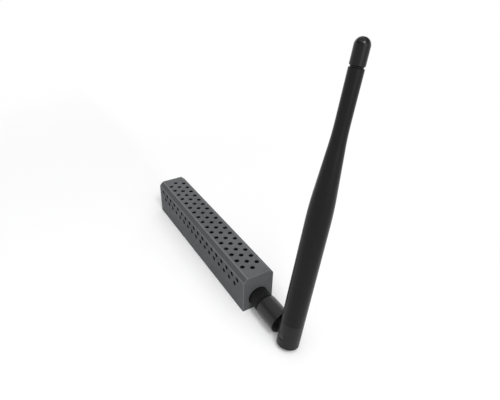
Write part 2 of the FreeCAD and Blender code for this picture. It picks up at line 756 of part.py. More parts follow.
def make_usb_socket():
    back = f"({JACK_FRONT} - Sizes.usb_depth)"
    outside = stadium("UsbOutside", "Sizes.usb_width", "Sizes.usb_height", "Sizes.usb_depth", back)
    inside = stadium("UsbInside", "Sizes.usb_width - 2 * Sizes.usb_sheet",
                     "Sizes.usb_height - 2 * Sizes.usb_sheet", "Sizes.usb_depth + Sizes.cut_past",
                     f"({back} - Sizes.cut_past / 2)")
    cut_of("usb_socket_shell", outside, inside)
    rear = stadium("UsbRear", "Sizes.usb_width - 2 * Sizes.usb_sheet - 2 * Sizes.fit_gap",
                   "Sizes.usb_height - 2 * Sizes.usb_sheet - 2 * Sizes.fit_gap", "Sizes.usb_back", back)
    tongue = doc.addObject("Part::Box", "UsbTongue")
    tongue.setExpression("Length", "Sizes.usb_tongue_width")
    tongue.setExpression("Width", "Sizes.usb_depth - Sizes.usb_tongue_setback")
    tongue.setExpression("Height", "Sizes.usb_tongue_thickness")
    place(tongue, "0 - Sizes.usb_tongue_width / 2", back, f"{USB_HEIGHT} - Sizes.usb_tongue_thickness / 2")
    insert = fuse_of("usb_socket_insert", [rear, tongue])
    insert.Label = "usb_socket_insert"
    sub_parts.append(insert)


# Parts on the board
def board_box(label, width, length, height, x, y, lift="0"):
    """A box on the board's top face, centred on its place."""
    box = doc.addObject("Part::Box", label)
    box.Label = label
    box.setExpression("Length", width)
    box.setExpression("Width", length)
    box.setExpression("Height", height)
    place(box, f"{x} - ({width}) / 2", f"{y} - ({length}) / 2", f"{BOARD_TOP} + {lift}")
    sub_parts.append(box)
    return box


def make_module(name, start):
    """A radio module: a thin board with a pressed shield over most of it."""
    width = f"Sizes.{name}_width"
    length = f"Sizes.{name}_length"
    board_box(f"{name}_module_board", width, length, "Sizes.module_board", "0", f"({start} + {length} / 2)")
    shield_length = f"({length} - Sizes.module_bare_end - Sizes.shield_margin)"
    shield_middle = f"({start} + Sizes.module_bare_end + {shield_length} / 2)"
    board_box(f"{name}_module_shield", f"{width} - 2 * Sizes.shield_margin", shield_length,
              "Sizes.shield_height", "0", shield_middle, "Sizes.module_board")


def make_board_parts():
    radio_start = f"({BOARD_NEAR} + Sizes.module_start)"
    make_module("radio", radio_start)
    make_module("processor", f"({radio_start} + Sizes.radio_length + Sizes.module_space)")
    chip_y = f"({JACK_BACK} - Sizes.ethernet_chip_space)"
    board_box("ethernet_chip", "Sizes.ethernet_chip_side", "Sizes.ethernet_chip_side",
              "Sizes.ethernet_chip_height", "0", chip_y)
    board_box("clock_crystal", "Sizes.crystal_width", "Sizes.crystal_length",
              "Sizes.crystal_height", "Sizes.crystal_across", chip_y)
    board_box("voltage_regulator", "Sizes.regulator_width", "Sizes.regulator_length",
              "Sizes.regulator_height", "(0 - Sizes.regulator_across)",
              f"({JACK_BACK} - Sizes.regulator_space)")
    can = new_cylinder("bulk_capacitor", "Sizes.capacitor_radius", "Sizes.capacitor_height",
                       "Sizes.capacitor_across", f"{JACK_BACK} - Sizes.capacitor_space", BOARD_TOP)
    can.Label = "bulk_capacitor"
    sub_parts.append(can)


# Aerial socket: its thread stands out of the near wall
def make_antenna_jack():
    barrel = "Sizes.thread_diameter / 2"
    rear_end = f"({BORE_BACK} - Sizes.jack_rear_length)"
    ferrule_end = f"({rear_end} - Sizes.ferrule_length)"
    insulator = "Sizes.insulator_radius"
    cable = "(Sizes.pigtail_diameter / 2 + Sizes.fit_gap)"
    body = new_body("antenna_jack_body", CONNECTOR)
    turn_profile(body, "Revolution", "JackSection", [
        (cable, ferrule_end), ("Sizes.ferrule_radius", ferrule_end), ("Sizes.ferrule_radius", rear_end),
        ("Sizes.jack_rear_radius", rear_end), ("Sizes.jack_rear_radius", BORE_BACK),
        (barrel, BORE_BACK), (barrel, "Sizes.jack_reach"),
        ("Sizes.mating_radius", "Sizes.jack_reach"), ("Sizes.mating_radius", MATING_PLANE),
        (insulator, MATING_PLANE), (insulator, BORE_BACK), (cable, BORE_BACK),
    ])

    def draw_flange(sketch):
        draw_hexagon(sketch, "Sizes.jack_flats")
        draw_circle(sketch, "0", "0", "(Sizes.insulator_radius + Sizes.jack_rear_radius) / 2")

    pad_between(body, "Flange", BORE_BACK, "(0 - Sizes.end_wall)", draw_flange)

    filler = new_body("antenna_jack_insulator", CONNECTOR)
    filler_in = "Sizes.contact_radius + Sizes.fit_gap"
    filler_out = "Sizes.insulator_radius - Sizes.fit_gap"
    turn_profile(filler, "Revolution", "InsulatorSection", [
        (filler_in, BORE_BACK), (filler_out, BORE_BACK),
        (filler_out, MATING_PLANE), (filler_in, MATING_PLANE),
    ])

    contact = new_body("antenna_jack_contact", CONNECTOR)
    socket = "(Sizes.pin_radius + Sizes.fit_gap)"
    socket_end = f"({MATING_PLANE} - Sizes.pin_reach - 2 * Sizes.fit_gap)"
    turn_profile(contact, "Revolution", "ContactSection", [
        ("0", BORE_BACK), ("Sizes.contact_radius", BORE_BACK), ("Sizes.contact_radius", MATING_PLANE),
        (socket, MATING_PLANE), (socket, socket_end), ("0", socket_end),
    ])

    washer = new_body("antenna_jack_washer", CONNECTOR)
    bore = "Sizes.thread_diameter / 2 + Sizes.thread_gap"
    turn_profile(washer, "Revolution", "WasherSection", [
        (bore, "0"), ("Sizes.washer_radius", "0"),
        ("Sizes.washer_radius", "Sizes.washer_thickness"), (bore, "Sizes.washer_thickness"),
    ])

    def draw_nut(sketch):
        draw_hexagon(sketch, "Sizes.jack_flats")
        draw_circle(sketch, "0", "0", bore)

    nut = new_body("antenna_jack_nut", CONNECTOR)
    pad_between(nut, "NutOutline", "Sizes.washer_thickness",
                "(Sizes.washer_thickness + Sizes.nut_thickness)", draw_nut)


# Pigtail: a thin cable from the aerial socket up on to the board, and the small plug on its end
def make_pigtail():
    start = f"(0 - {HALF_LENGTH} - {BORE_BACK} + Sizes.fit_gap)"
    bend_start = (f"(0 - {HALF_LENGTH} - {BORE_BACK} + Sizes.jack_rear_length "
                  "+ Sizes.ferrule_length + Sizes.pigtail_lead)")
    low = "Sizes.axis_height"
    socket_top = f"({BOARD_TOP} + Sizes.pigtail_socket_height)"
    crimp = "(Sizes.pigtail_diameter / 2 + Sizes.pigtail_plug_wall)"
    high = f"({socket_top} + Sizes.pigtail_plug_gap + {crimp})"
    cosine = f"(1 - ({high} - {low}) / (2 * Sizes.pigtail_bend))"
    run = f"(Sizes.pigtail_bend * sqrt(1 - {cosine} ^ 2))"
    plug_y = f"({bend_start} + 2 * {run} + Sizes.pigtail_lead + Sizes.pigtail_plug_radius)"
    cable = new_body("pigtail_cable")
    path = new_sketch(cable, "YZ_Plane", "PigtailPath")

    # The two arcs of the S bend are drawn in place, before their dimensions take hold
    bend = size["pigtail_bend"]
    first_y, low_now, high_now = (path.evalExpression(text) for text in (bend_start, low, high))
    turn = math.acos(1 - (high_now - low_now) / (2 * bend))
    first_centre = FreeCAD.Vector(first_y, low_now + bend, 0)
    last_centre = FreeCAD.Vector(first_y + 2 * bend * math.sin(turn), high_now - bend, 0)
    rising = new_arc(first_centre, bend, -math.pi / 2, turn - math.pi / 2)
    levelling = new_arc(last_centre, bend, math.pi / 2, math.pi / 2 + turn)
    draw_outline(path, [
        (start, low), (bend_start, low), (f"{bend_start} + {run}", f"({low} + {high}) / 2"),
        (f"{bend_start} + 2 * {run}", high), (plug_y, high),
    ], {1: (rising, 1, 2, "Vertical", 1), 2: (levelling, 2, 1, "Vertical", 1)}, closed=False)
    section = new_sketch(cable, "XZ_Plane", "PigtailSection", f"0 - {start}")
    draw_circle(section, "0", low, "Sizes.pigtail_diameter / 2")
    doc.recompute()
    pipe = cable.newObject("PartDesign::AdditivePipe", "PigtailPipe")
    pipe.Profile = section
    pipe.Spine = (path, [f"Edge{number}" for number in range(1, 5)])
    doc.recompute()

    side = "Sizes.pigtail_socket_side"
    socket = doc.addObject("Part::Box", "pigtail_socket")
    socket.Label = "pigtail_socket"
    socket.setExpression("Length", side)
    socket.setExpression("Width", side)
    socket.setExpression("Height", "Sizes.pigtail_socket_height")
    place(socket, f"0 - {side} / 2", f"{plug_y} - {side} / 2", BOARD_TOP)
    sub_parts.append(socket)
    cap = new_cylinder("PlugCap", "Sizes.pigtail_plug_radius", f"{high} + {crimp} - {socket_top}",
                       "0", plug_y, socket_top)
    sleeve = new_cylinder("PlugCrimp", crimp, "Sizes.pigtail_plug_radius + Sizes.pigtail_lead / 2",
                          "0", plug_y, high)
    bore = new_cylinder("PlugBore", "Sizes.pigtail_diameter / 2 + Sizes.fit_gap",
                        "Sizes.pigtail_plug_radius + Sizes.pigtail_lead", "0", plug_y, high)
    for item in (sleeve, bore):
        item.setExpression("Placement", f"placement(vector(0; {plug_y} + Sizes.fit_gap; {high}); "
                                        "rotation(vector(1; 0; 0); 90))")
    cut_of("pigtail_plug", fuse_of("PlugOutside", [cap, sleeve]), bore)


# Coupling: a knurled grip round a threaded nut, held on the plug by a snap ring
def make_coupling():
    flats = "(Sizes.jack_flats + 2 * Sizes.fit_gap)"
    grip = new_body("coupling_grip", CONNECTOR)
    turn_profile(grip, "Revolution", "GripSection", [
        ("Sizes.grip_recess", "Sizes.grip_standoff"),
        ("Sizes.grip_radius - Sizes.grip_bevel", "Sizes.grip_standoff"),
        ("Sizes.grip_radius", "Sizes.grip_standoff + Sizes.grip_bevel"),
        ("Sizes.grip_radius", "Sizes.grip_end - Sizes.grip_bevel"),
        ("Sizes.grip_radius - Sizes.grip_bevel", "Sizes.grip_end"),
        ("Sizes.thread_diameter / 2", "Sizes.grip_end"),
        ("Sizes.thread_diameter / 2", "Sizes.coupling_start"),
        ("Sizes.grip_recess", "Sizes.coupling_start"),
    ])
    pocket_between(grip, "NutSeat", "(Sizes.coupling_start - Sizes.cut_past)",
                   "(Sizes.grip_end + Sizes.cut_past)", lambda sketch: draw_hexagon(sketch, flats))

    # The sides of a knurl groove run on as far outside the grip as they go into it
    half_groove = "(Sizes.grip_radius * tan(180 deg / Sizes.knurl_count) - Sizes.knurl_flat / 2)"

    def draw_groove(sketch):
        outer = "Sizes.grip_radius + Sizes.knurl_depth"
        draw_outline(sketch, [
            ("Sizes.grip_radius - Sizes.knurl_depth", "0"), (outer, f"0 - 2 * {half_groove}"),
            (outer, f"2 * {half_groove}"),
        ])

    groove = pocket_between(grip, "KnurlGroove", "(Sizes.grip_standoff - Sizes.cut_past)",
                            "(Sizes.grip_end + Sizes.cut_past)", draw_groove)
    repeat_around(grip, groove, "Sizes.knurl_count")

    bore = "(Sizes.thread_diameter / 2 + Sizes.thread_gap)"
    ring_low = "Sizes.snap_ring_start"
    ring_high = "(Sizes.snap_ring_start + Sizes.snap_ring_thickness)"
    ring_out = f"({bore} + Sizes.snap_ring_reach)"
    ring_in = "(Sizes.plug_neck_radius - Sizes.snap_ring_reach)"
    groove_low = f"{ring_low} - Sizes.fit_gap"
    groove_high = f"{ring_high} + Sizes.fit_gap"
    groove_out = f"{ring_out} + Sizes.fit_gap"
    nut = new_body("coupling_nut", CONNECTOR)
    pad_between(nut, "CouplingHex", "Sizes.coupling_start", "Sizes.grip_end",
                lambda sketch: draw_hexagon(sketch, "Sizes.jack_flats"))
    turn_profile(nut, "Groove", "CouplingBore", [
        ("0", "Sizes.coupling_start - Sizes.cut_past"), (bore, "Sizes.coupling_start - Sizes.cut_past"),
        (bore, groove_low), (groove_out, groove_low), (groove_out, groove_high), (bore, groove_high),
        (bore, "Sizes.grip_end + Sizes.cut_past"), ("0", "Sizes.grip_end + Sizes.cut_past"),
    ])

    ring = new_body("snap_ring", CONNECTOR)
    turn_profile(ring, "Revolution", "SnapRingSection", [
        (f"{ring_in} + Sizes.fit_gap", ring_low), (ring_out, ring_low),
        (ring_out, ring_high), (f"{ring_in} + Sizes.fit_gap", ring_high),
    ])

    mating = f"({MATING_PLANE} + Sizes.fit_gap)"
    mating_outer = "(Sizes.mating_radius - Sizes.fit_gap)"
    shoulder = "(Sizes.jack_reach + Sizes.fit_gap)"
    bore_end = f"({ELBOW_START} - Sizes.elbow_seam / 2)"
    cable = "(Sizes.feed_radius + Sizes.swivel_gap)"
    plug = new_body("plug_body", CONNECTOR)
    turn_profile(plug, "Revolution", "PlugSection", [
        ("Sizes.insulator_radius", mating), (mating_outer, mating), (mating_outer, shoulder),
        ("Sizes.plug_neck_radius", shoulder), ("Sizes.plug_neck_radius", groove_low),
        (ring_in, groove_low), (ring_in, groove_high),
        ("Sizes.plug_neck_radius", groove_high), ("Sizes.plug_neck_radius", bore_end),
        ("Sizes.barrel_radius", bore_end), ("Sizes.barrel_radius", "Sizes.barrel_end"),
        ("Sizes.barrel_flange_radius", "Sizes.barrel_end"), ("Sizes.barrel_flange_radius", FLANGE_END),
        (cable, FLANGE_END), (cable, bore_end), ("Sizes.insulator_radius", bore_end),
    ])

    filler = new_body("plug_insulator", CONNECTOR)
    filler_in = "Sizes.contact_radius + Sizes.fit_gap"
    filler_out = "Sizes.insulator_radius - Sizes.fit_gap"
    turn_profile(filler, "Revolution", "PlugInsulatorSection", [
        (filler_in, mating), (filler_out, mating), (filler_out, bore_end), (filler_in, bore_end),
    ])
    pin = new_body("plug_pin", CONNECTOR)
    turn_profile(pin, "Revolution", "PlugPinSection", [
        ("0", f"{mating} - Sizes.pin_reach"), ("Sizes.pin_radius", f"{mating} - Sizes.pin_reach"),
        ("Sizes.pin_radius", mating), ("Sizes.contact_radius", mating), ("Sizes.contact_radius", bore_end),
        ("0", bore_end),
    ])


# Elbow: turns on the plug's barrel and carries the hinge tongue
def make_elbow():
    elbow = new_body("elbow", ELBOW)
    bore = "(Sizes.barrel_radius + Sizes.swivel_gap)"
    catch = "(Sizes.barrel_flange_radius + Sizes.swivel_gap)"
    passage = "(Sizes.tongue_slot / 2)"
    barrel = turn_profile(elbow, "Revolution", "ElbowSection", [
        (bore, ELBOW_START), ("Sizes.elbow_radius", ELBOW_START), ("Sizes.elbow_radius", "Sizes.elbow_end"),
        (passage, "Sizes.elbow_end"), (passage, f"{FLANGE_END} + Sizes.swivel_gap"),
        (catch, f"{FLANGE_END} + Sizes.swivel_gap"), (catch, "Sizes.barrel_end - Sizes.swivel_gap"),
        (bore, "Sizes.barrel_end - Sizes.swivel_gap"),
    ])
    rims = edges_where(barrel, lambda edge: edge.BoundBox.ZLength < TOLERANCE
                       and edge.BoundBox.XLength > 2 * size["elbow_radius"] - TOLERANCE)
    round_edges(elbow, barrel, "ElbowRims", rims, "Sizes.elbow_edge")
    slab_start = f"({FLANGE_END} + Sizes.elbow_end) / 2"
    slab = new_sketch(elbow, "YZ_Plane", "TongueSlab")
    draw_rectangle(slab, "0 - Sizes.tongue_radius", "Sizes.tongue_radius", slab_start, "Sizes.hinge_reach")
    add_pad(elbow, slab, "Sizes.tongue_thickness")
    knuckle = new_sketch(elbow, "YZ_Plane", "TongueKnuckle")
    draw_circle(knuckle, "0", "Sizes.hinge_reach", "Sizes.tongue_radius")
    add_pad(elbow, knuckle, "Sizes.tongue_thickness")
    slot = new_sketch(elbow, "YZ_Plane", "CableSlot")
    draw_rectangle(slot, "0 - Sizes.tongue_radius - Sizes.cut_past", "Sizes.tongue_radius + Sizes.cut_past",
                   "Sizes.elbow_end + Sizes.tongue_web",
                   "Sizes.hinge_reach + Sizes.tongue_radius + Sizes.cut_past")
    add_pocket(elbow, slot, "Sizes.tongue_slot")
    pocket_between(elbow, "CableChannel", FLANGE_END, "(Sizes.elbow_end + Sizes.tongue_web + Sizes.cut_past)",
                   lambda sketch: draw_circle(sketch, "0", "0", passage))
    pivot = new_sketch(elbow, "YZ_Plane", "PivotBore")
    draw_circle(pivot, "0", "Sizes.hinge_reach", "Sizes.hinge_pin_radius + Sizes.fit_gap")
    add_pocket(elbow, pivot, "Sizes.tongue_thickness + Sizes.cut_past")

    cable = new_body("feed_cable_lower", ELBOW)
    pad_between(cable, "LowerCable", f"({ELBOW_START} + Sizes.feed_start)",
                "(Sizes.hinge_reach - Sizes.feed_stop)",
                lambda sketch: draw_circle(sketch, "0", "0", "Sizes.feed_radius"))


# Whip: a forked base, a long tapered sleeve and a tip
def make_whip_base():
    base = new_body("whip_base", WHIP)
    sleeve_end = "(Sizes.base_top + Sizes.spigot_length)"
    shaft = turn_profile(base, "Revolution", "BaseSection", [
        ("0", "0 - Sizes.whip_bottom"), ("Sizes.whip_radius", "0 - Sizes.whip_bottom"),
        ("Sizes.whip_radius", "Sizes.base_top"), ("Sizes.spigot_radius", "Sizes.base_top"),
        ("Sizes.spigot_radius", sleeve_end), ("0", sleeve_end),
    ])
    bottom_rim = edges_where(shaft, lambda edge: edge.BoundBox.ZMax < 0
                             and edge.BoundBox.ZLength < TOLERANCE)
    round_edges(base, shaft, "BottomRim", bottom_rim, "Sizes.whip_edge")

    # The heel is turned about the hinge so that it passes the end of the elbow
    heel = size["hinge_reach"] - size["elbow_end"] - size["heel_gap"]
    heel_arc = new_arc(FreeCAD.Vector(0, 0, 0), heel, -math.pi / 2, 0)
    outside = f"({HEEL_RADIUS} + Sizes.whip_radius)"
    corner = new_sketch(base, "YZ_Plane", "HeelCorner")
    draw_outline(corner, [
        (HEEL_RADIUS, "0"), (outside, "0"), (outside, f"0 - {outside}"),
        ("0", f"0 - {outside}"), ("0", f"0 - {HEEL_RADIUS}"),
    ], {4: (heel_arc, 1, 2, "Horizontal", 2)})
    add_pocket(base, corner, "2 * Sizes.whip_radius + Sizes.cut_past")

    fork = new_sketch(base, "YZ_Plane", "ForkSlot")
    low = "(0 - Sizes.whip_bottom - Sizes.cut_past)"
    draw_rectangle(fork, "0 - Sizes.fork_round", "Sizes.whip_radius + Sizes.cut_past", low, "0")
    add_pocket(base, fork, f"2 * {FORK_HALF}")
    mouth = new_sketch(base, "YZ_Plane", "ForkMouth")
    draw_rectangle(mouth, "0", "Sizes.whip_radius + Sizes.cut_past", "0 - Sizes.cut_past", "Sizes.fork_round")
    add_pocket(base, mouth, f"2 * {FORK_HALF}")
    crown = new_sketch(base, "YZ_Plane", "ForkCrown")
    draw_circle(crown, "0", "0", "Sizes.fork_round")
    add_pocket(base, crown, f"2 * {FORK_HALF}")

    pocket_between(base, "FeedBore", "0", f"({sleeve_end} + Sizes.cut_past)",
                   lambda sketch: draw_circle(sketch, "0", "0", "Sizes.feed_radius + Sizes.fit_gap"))
    pivot = new_sketch(base, "YZ_Plane", "PinBore")
    draw_circle(pivot, "0", "0", "Sizes.hinge_pin_radius + Sizes.fit_gap")
    add_pocket(base, pivot, "2 * Sizes.whip_radius")
    middle, length = span(f"({HEAD_IN} - Sizes.fit_gap)", "(Sizes.whip_radius + Sizes.cut_past)")
    for side, across in SIDES:
        seat = new_sketch(base, "YZ_Plane", f"{side}HeadSeat", f"{across}({middle})")
        draw_circle(seat, "0", "0", "Sizes.hinge_head_radius + Sizes.hinge_head_gap")
        add_pocket(base, seat, length)


def make_hinge_pins():
    pins = new_body("hinge_pins", WHIP)
    inner = "(Sizes.tongue_slot / 2 + Sizes.fit_gap)"
    stretches = [
        ("Head", HEAD_IN, HEAD_OUT, "Sizes.hinge_head_radius"),
        ("Shank", inner, HEAD_IN, "Sizes.hinge_pin_radius"),
    ]
    for side, across in SIDES:
        for name, low, high, radius in stretches:
            middle, length = span(low, high)
            sketch = new_sketch(pins, "YZ_Plane", f"{side}Pin{name}", f"{across}({middle})")
            draw_circle(sketch, "0", "0", radius)
            add_pad(pins, sketch, length)


def make_whip_sleeve():
    """A tube whose taper runs into its straight ends through long arcs."""
    sleeve = new_body("whip_sleeve", WHIP)
    inner_low = "(Sizes.spigot_radius + Sizes.fit_gap)"
    inner_high = "(Sizes.tip_radius - Sizes.sleeve_wall)"
    fall = "(Sizes.whip_radius - Sizes.tip_radius)"
    run = "(Sizes.taper_end - Sizes.taper_start)"
    slant = f"sqrt({fall} ^ 2 + {run} ^ 2)"
    corners = [
        (inner_low, "Sizes.base_top"), ("Sizes.whip_radius", "Sizes.base_top"),
        ("Sizes.whip_radius", "Sizes.taper_start - Sizes.taper_round_low"),
        (f"Sizes.whip_radius - Sizes.taper_round_low * {fall} / {slant}",
         f"Sizes.taper_start + Sizes.taper_round_low * {run} / {slant}"),
        (f"Sizes.tip_radius + Sizes.taper_round_high * {fall} / {slant}",
         f"Sizes.taper_end - Sizes.taper_round_high * {run} / {slant}"),
        ("Sizes.tip_radius", "Sizes.taper_end + Sizes.taper_round_high"),
        ("Sizes.tip_radius", GROOVE_START), (inner_high, GROOVE_START),
        (inner_high, "Sizes.taper_end"), (inner_low, "Sizes.taper_start"),
    ]
    lean = math.atan2(size["whip_radius"] - size["tip_radius"], size["taper_end"] - size["taper_start"])
    low_bend = size["taper_round_low"] / math.tan(lean / 2)
    high_bend = size["taper_round_high"] / math.tan(lean / 2)
    low_height = size["taper_start"] - size["taper_round_low"]
    high_height = size["taper_end"] + size["taper_round_high"]
    low_centre = FreeCAD.Vector(size["whip_radius"] - low_bend, low_height, 0)
    high_centre = FreeCAD.Vector(size["tip_radius"] + high_bend, high_height, 0)
    low_arc = new_arc(low_centre, low_bend, 0, lean)
    high_arc = new_arc(high_centre, high_bend, math.pi, math.pi + lean)
    turn_profile(sleeve, "Revolution", "SleeveSection", corners,
                 {2: (low_arc, 1, 2, "Horizontal", 1), 4: (high_arc, 2, 1, "Horizontal", 1)})


def make_tip_cap():
    cap = new_body("tip_cap", WHIP)
    groove_end = f"({GROOVE_START} + Sizes.groove_width)"
    spigot = "(Sizes.tip_radius - Sizes.sleeve_wall - Sizes.fit_gap)"
    crown = turn_profile(cap, "Revolution", "TipSection", [
        ("0", f"{GROOVE_START} - Sizes.tip_spigot"), (spigot, f"{GROOVE_START} - Sizes.tip_spigot"),
        (spigot, GROOVE_START), ("Sizes.groove_radius", GROOVE_START),
        ("Sizes.groove_radius", groove_end), ("Sizes.tip_radius - Sizes.tip_cap_bevel", groove_end),
        ("Sizes.tip_radius", f"{groove_end} + Sizes.tip_cap_bevel"),
        ("Sizes.tip_radius", "Sizes.tip_length"), ("0", "Sizes.tip_length"),
    ])
    top = edges_where(crown, lambda edge: edge.BoundBox.ZMin > size["tip_length"] - TOLERANCE
                      and edge.BoundBox.XLength > size["tip_radius"])
    round_edges(cap, crown, "TipDome", top, "Sizes.tip_radius - Sizes.fit_gap")


def make_aerial_wire():
    cable = new_body("feed_cable_upper", WHIP)
    pad_between(cable, "UpperCable", "Sizes.feed_stop", GROUND_TUBE_END,
                lambda sketch: draw_circle(sketch, "0", "0", "Sizes.feed_radius"))
    tube = new_body("ground_tube", WHIP)
    inner = "(Sizes.ground_tube_radius - Sizes.ground_tube_wall)"
    hole = "(Sizes.feed_radius + Sizes.fit_gap)"
    cap_start = f"({GROUND_TUBE_END} - Sizes.ground_tube_wall)"
    turn_profile(tube, "Revolution", "TubeSection", [
        (inner, "Sizes.ground_tube_start"), ("Sizes.ground_tube_radius", "Sizes.ground_tube_start"),
        ("Sizes.ground_tube_radius", GROUND_TUBE_END), (hole, GROUND_TUBE_END), (hole, cap_start),
        (inner, cap_start),
    ])
    wire = new_body("radiator_wire", WHIP)
    pad_between(wire, "Radiator", f"({GROUND_TUBE_END} + Sizes.fit_gap)",
                f"({GROUND_TUBE_END} + Sizes.radiator_length)",
                lambda sketch: draw_circle(sketch, "0", "0", "Sizes.radiator_radius"))


make_housing_shell()
make_bottom_cover()
make_cover_screws()
make_board_screws()
make_main_board()
make_ethernet_jack()
make_usb_socket()
make_board_parts()
make_antenna_jack()
make_pigtail()
make_coupling()
make_elbow()
make_whip_base()
make_hinge_pins()
make_whip_sleeve()
make_tip_cap()
make_aerial_wire()
doc.recompute()

# Nothing is written unless every object came out sound
for item in doc.Objects:
    if "Invalid" in item.State or "Error" in item.State:
        raise RuntimeError(f"{item.Label} failed: {item.State}")
for item in sub_parts:
    if item.Shape.isNull() or not item.Shape.isValid():
        raise RuntimeError(f"{item.Label} has no sound shape")
os.makedirs("parts", exist_ok=True)
for item in sub_parts:
    item.Shape.exportStep(f"parts/{item.Label}.step")
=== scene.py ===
import json
import math

import bmesh
import bpy
from mathutils import Matrix, Vector


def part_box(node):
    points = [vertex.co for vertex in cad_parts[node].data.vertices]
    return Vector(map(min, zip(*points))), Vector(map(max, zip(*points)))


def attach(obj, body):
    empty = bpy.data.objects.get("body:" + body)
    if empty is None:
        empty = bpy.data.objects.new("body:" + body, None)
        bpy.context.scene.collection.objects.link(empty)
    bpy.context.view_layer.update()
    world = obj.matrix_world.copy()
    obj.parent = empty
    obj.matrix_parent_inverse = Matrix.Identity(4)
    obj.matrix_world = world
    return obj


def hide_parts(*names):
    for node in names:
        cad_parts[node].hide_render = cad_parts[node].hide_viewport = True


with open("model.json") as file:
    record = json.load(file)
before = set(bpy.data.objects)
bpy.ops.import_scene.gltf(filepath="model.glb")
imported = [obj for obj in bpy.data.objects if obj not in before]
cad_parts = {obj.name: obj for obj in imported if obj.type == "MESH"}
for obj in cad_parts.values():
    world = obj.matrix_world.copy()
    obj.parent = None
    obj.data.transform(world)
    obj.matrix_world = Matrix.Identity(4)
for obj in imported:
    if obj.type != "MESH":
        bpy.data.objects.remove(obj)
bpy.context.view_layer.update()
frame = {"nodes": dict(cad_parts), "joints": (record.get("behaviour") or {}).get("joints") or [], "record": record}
scene = bpy.context.scene
scene.view_settings.view_transform = "Standard"

SLOTS = {part["node"]: part["material_slot"] for part in frame["record"]["subparts"]}
BODIES = {node_name: body
          for body, members in frame["record"]["behaviour"]["bodies"].items()
          for node_name in members}


def add_object(name, data):
    """A new object of the scene, at the origin."""
    item = bpy.data.objects.new(name, data)
    scene.collection.objects.link(item)
    return item


def hinge():
    """The middle of the hinge on which the whip tilts, and the direction of its pins."""
    tilt = next(joint for joint in frame["joints"] if joint["name"] == "antenna_tilt")
    return Vector(tilt["pos_m"]), Vector(tilt["axis"])


# Camera, as the photograph was taken
CAMERA_PLACE = Vector((-0.112493, -0.228577, 0.206033))
CAMERA_AZIMUTH = math.radians(-32.4534)
CAMERA_ELEVATION = math.radians(32.8288)
CAMERA_ROLL = math.radians(1.7239)
CAMERA_LENS = 32.415
CAMERA_SENSOR = 36
CAMERA_NEAR = 0.01
CAMERA_FAR = 20


def add_camera():
    level = math.cos(CAMERA_ELEVATION)
    back = Vector((math.sin(CAMERA_AZIMUTH) * level, -math.cos(CAMERA_AZIMUTH) * level,
                   math.sin(CAMERA_ELEVATION)))
    across = Vector((0, 0, 1)).cross(back).normalized()
    over = back.cross(across)
    right = across * math.cos(CAMERA_ROLL) + over * math.sin(CAMERA_ROLL)
    up = over * math.cos(CAMERA_ROLL) - across * math.sin(CAMERA_ROLL)
    turn = Matrix((right, up, back)).transposed().to_4x4()
    data = bpy.data.cameras.new("camera")
    data.lens = CAMERA_LENS
    data.sensor_width = CAMERA_SENSOR
    data.clip_start = CAMERA_NEAR
    data.clip_end = CAMERA_FAR
    camera = add_object("camera", data)
    camera.matrix_world = Matrix.Translation(CAMERA_PLACE) @ turn
    scene.camera = camera


class Wire:
    """A node's output; arithmetic on it adds Math nodes."""

    def __init__(self, nodes, socket):
        self.nodes = nodes
        self.socket = socket

    def _math(self, operation, first, second):
        return self.nodes.add("ShaderNodeMath", {"operation": operation}, {0: first, 1: second})

    def __add__(self, other):
        return self._math("ADD", self, other)

    def __radd__(self, other):
        return self._math("ADD", other, self)

    def __sub__(self, other):
        return self._math("SUBTRACT", self, other)

    def __rsub__(self, other):
        return self._math("SUBTRACT", other, self)

    def __mul__(self, other):
        return self._math("MULTIPLY", self, other)

    def __rmul__(self, other):
        return self._math("MULTIPLY", other, self)

    def __abs__(self):
        return self._math("ABSOLUTE", self, 0)

    def lesser(self, other):
        return self._math("MINIMUM", self, other)


# Most of a noise's values lie in its span, and a larger scale makes a finer pattern
NOISE_SPAN = (0.3, 0.7)
SPECK_SPAN = (0.35, 0.65)
GRAIN_STRENGTH = 0.6
CLOUD_SCALE = 60


